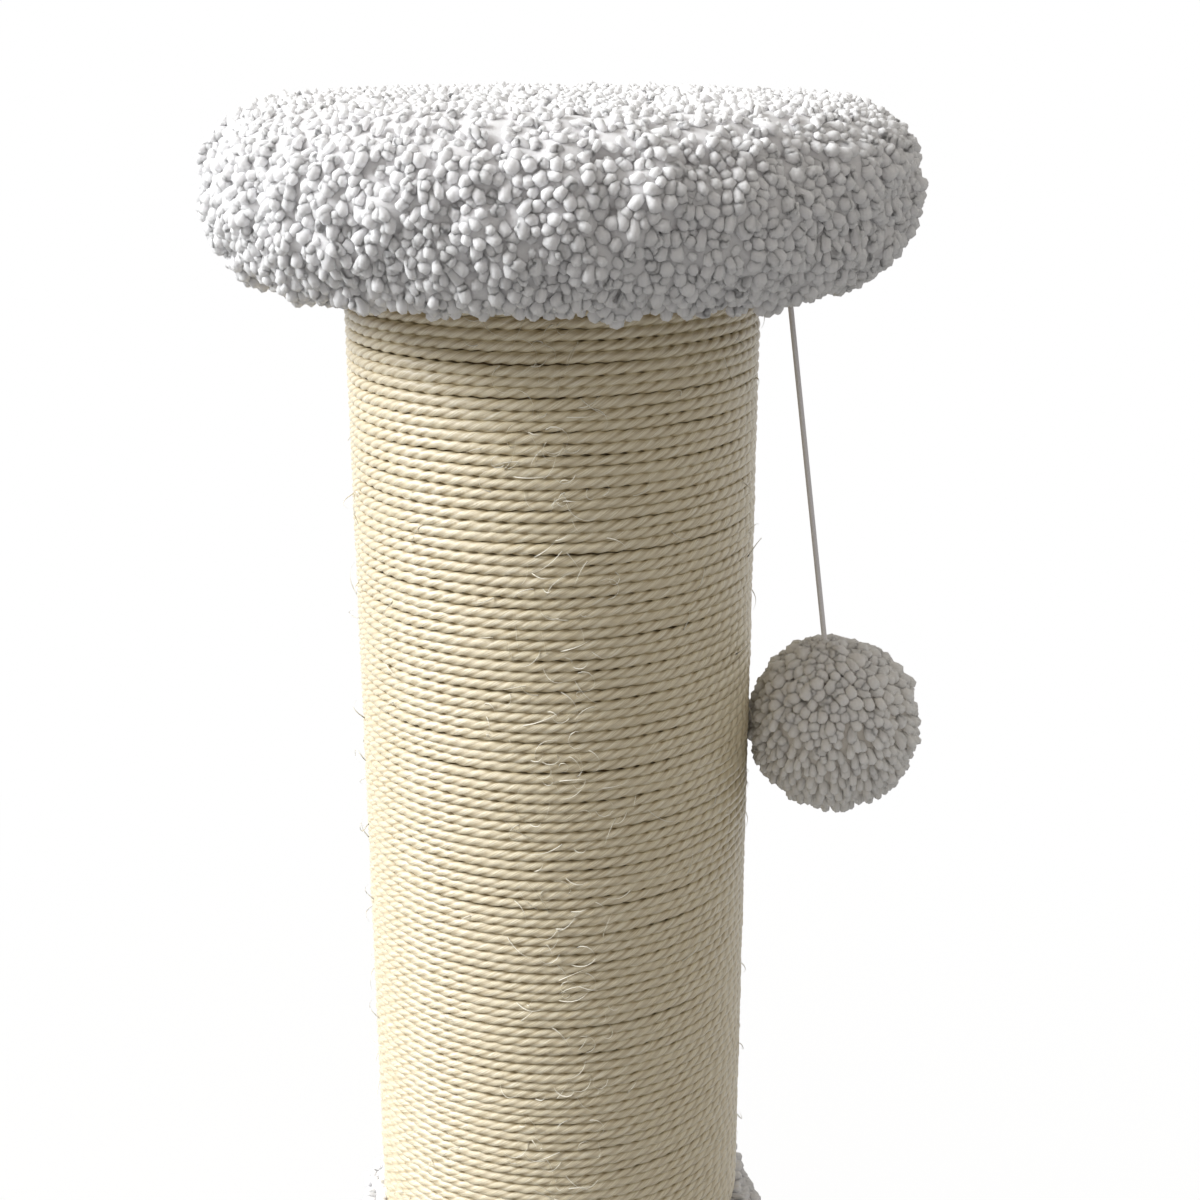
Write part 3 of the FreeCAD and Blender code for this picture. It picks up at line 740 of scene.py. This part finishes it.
def fleece(
    name, outline, seed, parts, flat=None, furrows=(), lean=0, drawn_in=0, spacing=LOCK_SPACING
):
    """Curly pile over a surface of revolution: a closed ground of clumps, and its curls.

    flat gives how flat the pile lies at each place, from 0 to 1. Furrows are lines pressed
    into the top, each with its depth. lean moves the pile to the right, and drawn_in moves
    the side inwards.
    """
    random = np.random.default_rng(seed)
    groups = clumps(outline, random)
    lying = flat or (lambda places: np.zeros(len(places)))

    def raised(places, normals):
        rise, away = swollen(places, *groups)
        rise = rise * (1 - LAID_LESS_RISE * lying(places)) + lean * normals[:, 0]
        rise -= drawn_in * (1 - normals[:, 2] ** 2)
        for start, end, deep in furrows:
            start, run = np.array(start), np.array(end) - start
            along = np.clip(((places[:, :2] - start) @ run) / (run @ run), 0, 1)
            off = np.linalg.norm(places[:, :2] - start - along[:, None] * run, axis=1)
            rise = rise - deep * np.exp(-((off / FURROW_WIDTH) ** 2))
        return places + normals * (rise - PILE_INSET)[:, None], away

    radius, height, way = evenly(outline, PILE_STEP)
    columns = int(2 * math.pi * max(radius) / PILE_STEP)
    out = round_about(2 * math.pi * np.arange(columns) / columns)[None]
    grid = out * radius[:, None, None] + UP * height[:, None, None]
    normals = UP * way[:, :1, None] - out * way[:, 1:, None]
    skin = raised(grid.reshape(-1, 3), normals.reshape(-1, 3))[0].reshape(grid.shape)
    # Painted shade: the ground between the curls is stored dark.
    shade = np.full(grid.shape[:2], GROUND_PAINTED_SHADE)
    ground = grid_mesh(name + "_ground", skin, {"tip": shade})
    made = [piece(ground, ground.name, PLUSH, "post")]

    places, normals, downs = scattered(outline, spacing, random)
    grounds, away = raised(places, normals)
    low = lying(places)[:, None]
    loose = random.normal(0, 1, places.shape)
    loose -= normals * np.sum(loose * normals, 1)[:, None]
    stood = normals * STOOD_OUT + away * STOOD_AWAY + downs * STOOD_DOWN + loose * STOOD_LOOSE
    laid = normals * LAID_OUT + loose * LAID_LOOSE
    along = unit(stood * (1 - low) + laid * low)
    small = 1 - LAID_SMALLER * low[:, 0]
    lengths = LOCK_LENGTH * small * random.uniform(*LOCK_LENGTHS, len(places))
    widths = LOCK_WIDTH * small * random.uniform(*LOCK_WIDTHS, len(places))
    proud = LOCK_PROUD * small * random.uniform(*LOCK_PROUDS, len(places))
    tips = grounds + normals * proud[:, None] + (away + downs * TIP_DOWN) * TIP_SHIFT
    for number, part in enumerate(np.array_split(np.arange(len(places)), parts), start=1):
        locks = locks_at(
            "%s_%d" % (name, number), tips[part], along[part], lengths[part], widths[part], random
        )
        made.append(piece(locks, locks.name, PLUSH, "post"))
    return made


CLOTH_THICKNESS = 1.2 * MM
CLOTH_INSET = 5.0 * MM
TURN_STEPS = 128

TOP_ROUND = 23.5 * MM
TOP_CROWN_FALL = 1.5 * MM
TOP_MIDWAY_FALL = 0.4 * MM
TOP_UNDER_ANGLE = -76
TOP_UNDER_EDGE = 80 * MM
TOP_HEM_EDGE = 72 * MM
TOP_HEM_GAP = 0.3 * MM
TOP_LEAN = 2.6 * MM
TOP_DRAWN_IN = 2 * MM
# The pile lies flat down to this far below the crown, and stands this much lower.
TOP_LAID_FALL = 4 * MM
TOP_LAID_FADE = 9 * MM
TOP_FURROWS = [
    ((-62 * MM, 8 * MM), (2 * MM, 46 * MM), 4.6 * MM),
    ((-42 * MM, -2 * MM), (0, 24 * MM), 4.2 * MM),
]

SLEEVE_GAP = 0.4 * MM
SLEEVE_ROUND = 6 * MM
SLEEVE_CLOTH_FALL = 2 * MM

BASE_GAP = 2 * MM
BASE_PILE_GAP = 6 * MM
BASE_ROUND = 11 * MM
BASE_UNDER_ANGLE = -60
BASE_UNDER_INSET = 8 * MM
BASE_HEM_EDGE = 100 * MM
BASE_HEM_GAP = 0.4 * MM


def top_outline(inset):
    """The top's upper face, rim and lower edge, this far inside its outer face."""
    low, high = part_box("top_cover")
    edge = high.x - TOP_ROUND
    crown = high.z - TOP_CROWN_FALL
    return (
        [(0, high.z - inset), (edge * 0.5, high.z - TOP_MIDWAY_FALL - inset)]
        + arc((edge, crown - TOP_ROUND), TOP_ROUND - inset, 90, 0)
        + arc((edge, low.z + TOP_ROUND), TOP_ROUND - inset, 0, TOP_UNDER_ANGLE)
    )


def make_top():
    """The padded top: its cloth over the foam, and the pile on it."""
    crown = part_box("top_cover")[1].z
    hem_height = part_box("top_board")[0].z - TOP_HEM_GAP
    hem = [(TOP_UNDER_EDGE, hem_height), (TOP_HEM_EDGE, hem_height)]
    cloth = spun("top_cloth", top_outline(CLOTH_INSET) + hem, TURN_STEPS, CLOTH_THICKNESS)
    piece(cloth, "top_cloth", CLOTH, "post")
    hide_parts("top_cover")

    def flat(places):
        return 1 - np.clip((crown - TOP_LAID_FALL - places[:, 2]) / TOP_LAID_FADE, 0, 1)

    locks = fleece(
        "top_pile", top_outline(0), seed=11, parts=3, flat=flat, furrows=TOP_FURROWS,
        lean=TOP_LEAN, drawn_in=TOP_DRAWN_IN,
    )


def make_sleeve():
    """The plush sleeve up the post's foot."""
    low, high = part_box("plush_sleeve")
    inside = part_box("post_tube")[1].x + SLEEVE_GAP
    edge = high.x - SLEEVE_ROUND
    outline = [(inside, high.z), (edge, high.z)]
    outline += arc((edge, high.z - SLEEVE_ROUND), SLEEVE_ROUND, 90, 0, 6)
    outline += [(high.x, low.z)]
    cloth_radius = inside + CLOTH_THICKNESS
    cloth_outline = [(cloth_radius, high.z - SLEEVE_CLOTH_FALL), (cloth_radius, low.z)]
    cloth = spun("sleeve_cloth", cloth_outline, TURN_STEPS, CLOTH_THICKNESS)
    piece(cloth, "sleeve_cloth", CLOTH, "post")
    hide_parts("plush_sleeve")
    locks = fleece("sleeve_pile", outline, seed=12, parts=1, spacing=SIDE_SPACING)


def make_base():
    """The plush cover of the base, drawn round the board and under it."""
    low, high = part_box("base_cover")
    hem_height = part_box("base_board")[0].z - BASE_HEM_GAP
    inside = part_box("post_tube")[1].x + BASE_GAP
    edge = high.x - BASE_ROUND

    def outline(inset):
        reach = BASE_ROUND - inset
        return (
            [(inside + BASE_PILE_GAP, high.z - inset)]
            + arc((edge, high.z - BASE_ROUND), reach, 90, 0, 8)
            + arc((edge, low.z + BASE_ROUND), reach, 0, BASE_UNDER_ANGLE, 8)
        )

    start = [(inside, high.z - CLOTH_INSET)]
    hem = [(edge - BASE_UNDER_INSET, hem_height), (BASE_HEM_EDGE, hem_height)]
    cloth_outline = start + outline(CLOTH_INSET) + hem
    cloth = spun("base_cloth", cloth_outline, TURN_STEPS, CLOTH_THICKNESS)
    piece(cloth, "base_cloth", CLOTH, "post")
    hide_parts("base_cover")
    locks = fleece("base_pile", outline(0), seed=13, parts=3, spacing=SIDE_SPACING)


# ---- rope ----

ROPE_PITCH = 2.96 * MM
ROPE_RADIUS = 1.7 * MM
ROPE_MIDDLE_INSET = 1.5 * MM
ROPE_LAY = 15 * MM
ROPE_STEP = 1.25 * MM
ROPE_GROOVE = 0.29
# Round the rope's section. The side against the tube needs only one point.
ROPE_ANGLES = np.radians([-105, -72, -40, -10, 18, 48, 78, 110, 180])
ROPE_STRANDS = 3
ROPE_PARTS = 4
# How far the rope strays, and the waves in a turn that the straying is made of.
ROPE_OUT_STRAY = (0.09 * MM, (0.31, 0.87, 1.93, 3.37, 7.1))
ROPE_HEIGHT_STRAY = (0.19 * MM, (0.23, 0.71, 1.37, 2.9, 5.3))
ROPE_THICKNESS_STRAY = (0.055, (1.7, 4.3, 9.1, 17.3))
ROPE_TWIST_STRAY = (0.5, (0.9, 2.3, 6.1))
# The lobes' height at which the strands' own colour starts to show through the painted groove
# shade, and over which it grows.
CREST_FROM = 0.08
CREST_FADE = 0.5

HAIR_COUNT = 380
HAIR_RADIUS = 0.22 * MM
HAIR_STEPS = 9
HAIR_SIDES = np.radians([0, 120, 240])
HAIR_TAPER_FROM = 1.05
HAIR_FRONT_SHARE = 0.5
HAIR_FRONT_TURN = math.radians(-88)
HAIR_FRONT_SPREAD = 0.13
HAIR_END_GAP = 5 * MM
HAIR_ROOT_INSET = 0.5 * MM
HAIR_LENGTHS = (4, 15)
HAIR_LIFTS = (1.0, 3.4)
HAIR_CURL = 2.4
HAIR_ARCH = 0.8


def wander(turns, random, size, waves):
    """A smooth random drift along the rope."""
    total = np.zeros_like(turns)
    for rate in waves:
        total += np.sin(2 * math.pi * (turns * rate + random.uniform(0, 1)))
    return size * total / math.sqrt(len(waves))


def make_rope():
    """The sisal rope wound round the tube, three twisted strands, in four lengths."""
    random = np.random.default_rng(21)
    low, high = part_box("sisal_rope")
    centre_radius = high.x - ROPE_MIDDLE_INSET
    rise = high.z - low.z - 2 * ROPE_RADIUS
    turns_in_all = round(rise / ROPE_PITCH)
    steps_a_turn = int(2 * math.pi * centre_radius / ROPE_STEP)
    turns = np.arange(turns_in_all * steps_a_turn + 1) / steps_a_turn
    angle = 2 * math.pi * turns
    length = turns * 2 * math.pi * centre_radius

    radial = centre_radius + wander(turns, random, *ROPE_OUT_STRAY)
    height = low.z + ROPE_RADIUS + rise * turns / turns_in_all
    height += wander(turns, random, *ROPE_HEIGHT_STRAY)
    thick = ROPE_RADIUS * (1 + wander(turns, random, *ROPE_THICKNESS_STRAY))
    twist = 2 * math.pi * length / ROPE_LAY + wander(turns, random, *ROPE_TWIST_STRAY)

    phase = ROPE_ANGLES[None] - twist[:, None]
    lobes = np.abs(np.cos(ROPE_STRANDS / 2 * phase))
    reach = thick[:, None] * (1 - ROPE_GROOVE * (1 - lobes))
    out = radial[:, None] + reach * np.cos(ROPE_ANGLES)
    points = np.stack(
        [
            out * np.cos(angle)[:, None],
            out * np.sin(angle)[:, None],
            height[:, None] + reach * np.sin(ROPE_ANGLES),
        ],
        -1,
    )
    uv = np.stack([np.broadcast_to(length[:, None], phase.shape), ROPE_RADIUS * phase], -1)
    # Painted shade: 0 deep in the grooves between the strands, 1 on the strands' crests.
    crest = np.clip((lobes - CREST_FROM) / CREST_FADE, 0, 1)
    sisal = sisal_paint()
    ends = np.linspace(0, len(turns) - 1, ROPE_PARTS + 1).astype(int)
    for number, (first, last) in enumerate(zip(ends[:-1], ends[1:]), start=1):
        part = slice(first, last + 1)
        rope = grid_mesh("rope_%d" % number, points[part], {"crest": crest[part]}, uv[part])
        piece(rope, rope.name, sisal, "post")
    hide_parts("sisal_rope")


def make_loose_fibres():
    """Single fibres that curl out of the rope, half of them down the front."""
    random = np.random.default_rng(22)
    low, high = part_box("sisal_rope")
    front = random.uniform(0, 1, HAIR_COUNT) < HAIR_FRONT_SHARE
    turn = np.where(
        front,
        HAIR_FRONT_TURN + random.normal(0, HAIR_FRONT_SPREAD, HAIR_COUNT),
        random.uniform(0, 2 * math.pi, HAIR_COUNT),
    )
    height = random.uniform(low.z + HAIR_END_GAP, high.z - HAIR_END_GAP, HAIR_COUNT)
    out = round_about(turn)
    side = np.cross(UP, out)
    start = out * (high.x - HAIR_ROOT_INSET) + UP * height[:, None]
    heading = random.uniform(0, 2 * math.pi, HAIR_COUNT)
    bend = random.normal(0, 1.0, HAIR_COUNT)
    reach = random.uniform(*HAIR_LENGTHS, HAIR_COUNT) * MM
    lift = random.uniform(*HAIR_LIFTS, HAIR_COUNT) * MM

    t = np.linspace(0, 1, HAIR_STEPS)[None]
    course = heading[:, None] + bend[:, None] * HAIR_CURL * t
    run = reach[:, None] / HAIR_STEPS
    across = np.cumsum(np.cos(course) * run, 1)
    along = np.cumsum(np.sin(course) * run, 1)
    away = lift[:, None] * np.sin(math.pi * t * HAIR_ARCH)
    line = (
        start[:, None]
        + side[:, None] * across[..., None]
        + UP * along[..., None]
        + out[:, None] * away[..., None]
    )
    ring = (
        out[:, None, None] * np.cos(HAIR_SIDES)[None, None, :, None]
        + UP * np.sin(HAIR_SIDES)[None, None, :, None]
    )
    taper = (HAIR_TAPER_FROM - t) * HAIR_RADIUS
    points = line[:, :, None] + ring * taper[..., None, None]
    hairs = [grid_mesh("hair", rings) for rings in points]
    select_only(hairs)
    bpy.ops.object.join()
    piece(hairs[0], "loose_fibres", hair_paint(), "post")


# ---- toy ----

STRING_DIAMETER = 1.6 * MM
STRING_BELOW_KNOT = 1.7 * MM
STRING_ABOVE_MIDDLE = 2.8 * MM

KNOT_SIZE = 0.62 * MM
KNOT_WIDTH = 0.42
KNOT_DEPTH = 1.1
KNOT_STEPS = 48
KNOT_STRAND = 0.42

CORE_INSET = 2.6 * MM
# Painted shade on the pompom's core, deep under its tufts.
CORE_PAINTED_SHADE = 0.2
TUFTS = 820
# How many directions there are to choose from for each tuft.
TUFT_CHOICE = 6
TUFT_LENGTH = 8 * MM
TUFT_WIDTH = 3.3 * MM
TUFT_EXTRA_WIDTH = 1.9 * MM
TUFT_SIZES = (0.85, 1.1)
TUFT_PROUDS = (-0.9, 1.1)
TUFT_FALL = 0.7
TUFT_LOOSE = 0.16
# How far below the middle the upper tufts begin, and how far over they lie at the string.
UPPER_FROM = 0.15
UPPER_LAID = 0.5


def place_of(joint):
    """Where a joint is."""
    return Vector(joints[joint]["pos_m"])


def make_string():
    """The toy's string, from its knot into the pompom."""
    knot = place_of("toy_swing_out")
    ball = place_of("pompom_twirl")
    way = (ball - knot).normalized()
    first = knot + way * STRING_BELOW_KNOT
    last = ball - way * STRING_ABOVE_MIDDLE
    points = [first, first.lerp(last, 0.33), first.lerp(last, 0.67), last]
    string = cord_through("string", "NURBS", points, STRING_DIAMETER / 2, resolution=3)
    string.data.resolution_u = 6
    string.data.use_fill_caps = True
    spline = string.data.splines[0]
    spline.order_u = 3
    spline.use_endpoint_u = True
    string.data.materials.append(STRING)
    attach(string, "string")
    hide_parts("toy_string")


def make_knot():
    """The overhand knot under the string's loop."""
    centre = place_of("toy_swing_out")
    turns = np.arange(KNOT_STEPS) * 2 * math.pi / KNOT_STEPS
    wide = (2 + np.cos(3 * turns)) * KNOT_WIDTH
    line = np.stack(
        [wide * np.cos(2 * turns), wide * np.sin(2 * turns), -np.sin(3 * turns) * KNOT_DEPTH], 1
    )
    points = line * KNOT_SIZE + np.array(centre)
    made = cord_through("knot", "POLY", points, STRING_DIAMETER * KNOT_STRAND, resolution=2)
    made.data.splines[0].use_cyclic_u = True
    select_only([made])
    bpy.ops.object.convert(target="MESH")
    bpy.ops.object.shade_smooth()
    piece(made, "knot", STRING, "string")
    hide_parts("toy_knot")


def evened(directions, count):
    """That many of the directions, chosen one by one as far from the others as they can be."""
    chosen = [0]
    least = np.full(len(directions), np.inf)
    for _ in range(count - 1):
        gap = np.sum((directions - directions[chosen[-1]]) ** 2, 1)
        least = np.minimum(least, gap)
        chosen.append(int(np.argmax(least)))
    return directions[chosen]


def make_pompom():
    """The pompom: tufts that fan out from the string, over a soft core."""
    random = np.random.default_rng(31)
    low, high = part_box("pompom")
    centre = place_of("pompom_twirl")
    radius = (high.x - low.x) / 2
    deselect_all()
    bpy.ops.mesh.primitive_ico_sphere_add(
        subdivisions=5, radius=radius - CORE_INSET, location=centre
    )
    core = bpy.context.object
    bpy.ops.object.transform_apply(location=True, rotation=True, scale=True)
    bpy.ops.object.shade_smooth()
    # Painted shade: the core is stored dark, as it lies in the tufts' shade.
    stored(core, "tip", np.full(len(core.data.vertices), CORE_PAINTED_SHADE))
    yarn = yarn_paint()
    piece(core, "pompom_core", yarn, "ball")

    out = evened(unit(random.normal(0, 1, (TUFTS * TUFT_CHOICE, 3))), TUFTS)
    entry = -np.array((centre - place_of("toy_swing_out")).normalized())
    fall = unit(out * (out @ entry)[:, None] - entry)
    upper = np.clip(out @ entry + UPPER_FROM, 0, 1)
    loose = random.normal(0, 1, out.shape)
    along = out * (1 - UPPER_LAID * upper)[:, None] + fall * TUFT_FALL + loose * TUFT_LOOSE
    lengths = TUFT_LENGTH * random.uniform(*TUFT_SIZES, TUFTS)
    widths = (TUFT_WIDTH + TUFT_EXTRA_WIDTH * upper) * random.uniform(*TUFT_SIZES, TUFTS)
    proud = random.uniform(*TUFT_PROUDS, TUFTS) * MM
    tips = np.array(centre) + out * (radius + proud)[:, None]
    tufts = locks_at("pompom_tufts", tips, unit(along), lengths, widths, random)
    piece(tufts, "pompom_tufts", yarn, "ball")
    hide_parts("pompom", "pompom_tie")


# ---- inner and lower parts, and the floor ----

FOAM_HOLE = 11.3 * MM
FOAM_BEVEL = 10 * MM

LINING_HOLE = 20 * MM
LINING_RISE = 0.5 * MM
LINING_THICKNESS = 0.6 * MM
LINING_SLACK = 0.12 * MM
LINING_WAVES_ROUND = 9
LINING_WAVES_SLANT = 90
LINING_WAVES_OUT = 60

STAPLE_SIZE = (1.0 * MM, 10 * MM, 0.7 * MM)
STAPLE_BEVEL = 0.25 * MM

FLOOR_SIZE = 12


def make_foam():
    """The foam pad under the top's cloth."""
    low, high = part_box("top_foam_pad")
    pad = spun(
        "foam_pad",
        [
            (FOAM_HOLE, low.z + 0.2 * MM),
            (high.x - 1 * MM, low.z + 0.2 * MM),
            (high.x, low.z + 2 * MM),
            (high.x - 0.5 * MM, high.z - FOAM_BEVEL),
            (high.x - 3.5 * MM, high.z - 4.5 * MM),
            (high.x - FOAM_BEVEL, high.z - 1 * MM),
            (40 * MM, high.z - 0.2 * MM),
            (0, high.z),
        ],
        steps=64,
    )
    piece(pad, "foam_pad", foam_paint(), "post")
    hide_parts("top_foam_pad")


def make_lining():
    """The black cloth under the base, slightly slack between its edges."""
    low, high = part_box("base_lining")
    outline = [(r, low.z + LINING_RISE) for r in np.linspace(LINING_HOLE, high.x, 9)]
    cloth = spun("base_lining_cloth", outline, 96, LINING_THICKNESS)
    for vertex in cloth.data.vertices:
        turn = math.atan2(vertex.co.y, vertex.co.x)
        reach = math.hypot(vertex.co.x, vertex.co.y)
        round_wave = math.sin(LINING_WAVES_ROUND * turn + LINING_WAVES_SLANT * reach)
        vertex.co.z += LINING_SLACK * round_wave * math.sin(LINING_WAVES_OUT * reach)
    piece(cloth, "base_lining_cloth", lining_paint(), "post")
    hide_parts("base_lining")


def make_staples(name, count, circle, seat):
    """Staples that hold a hem, their crowns showing under it."""
    deselect_all()
    bpy.ops.mesh.primitive_cube_add(size=1)
    crown = bpy.context.object
    bpy.ops.object.mode_set(mode="EDIT")
    bpy.ops.mesh.select_all(action="SELECT")
    bpy.ops.transform.resize(value=STAPLE_SIZE)
    bpy.ops.transform.translate(value=(circle, 0, seat))
    bpy.ops.mesh.bevel(offset=STAPLE_BEVEL, segments=2, affect="EDGES")
    bpy.ops.object.mode_set(mode="OBJECT")
    pattern = crown.data.copy()
    bpy.data.objects.remove(crown)
    sides = round_about(2 * math.pi * np.arange(count) / count)
    ups = np.broadcast_to(UP, sides.shape)
    axes = np.stack([sides, np.cross(ups, sides), ups], 1)
    made = repeated(name, pattern, np.zeros((count, 3)), axes, np.ones((count, 3)))
    piece(made, name, ZINC, "post")


def make_floor():
    """The floor under the feet."""
    deselect_all()
    bpy.ops.mesh.primitive_plane_add(size=FLOOR_SIZE)
    floor = bpy.context.object
    floor.name = "floor"
    floor.data.materials.append(floor_paint())


def paint_nodes():
    """Gives each part that shows as modelled its own material."""
    board = board_paint()
    paints = {
        "base_board": board,
        "top_board": board,
        "lower_plug": board,
        "upper_plug": board,
        "post_tube": paper_paint(),
        "base_feet": rubber_paint(),
        "toy_loop": STRING,
    }
    for name, node in nodes.items():
        node.data.materials.clear()
        node.data.materials.append(paints.get(name, ZINC))


set_camera()
set_lights()
paint_nodes()
make_floor()
make_string()
make_knot()
make_pompom()
make_top()
make_sleeve()
make_base()
make_rope()
make_loose_fibres()
make_foam()
make_lining()
base_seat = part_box("base_cover")[0].z + 1.0 * MM
top_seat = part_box("top_board")[0].z - 2.0 * MM
make_staples("base_staples", count=18, circle=101 * MM, seat=base_seat)
make_staples("top_staples", count=12, circle=76 * MM, seat=top_seat)

deselect_all()
bpy.context.view_layer.update()
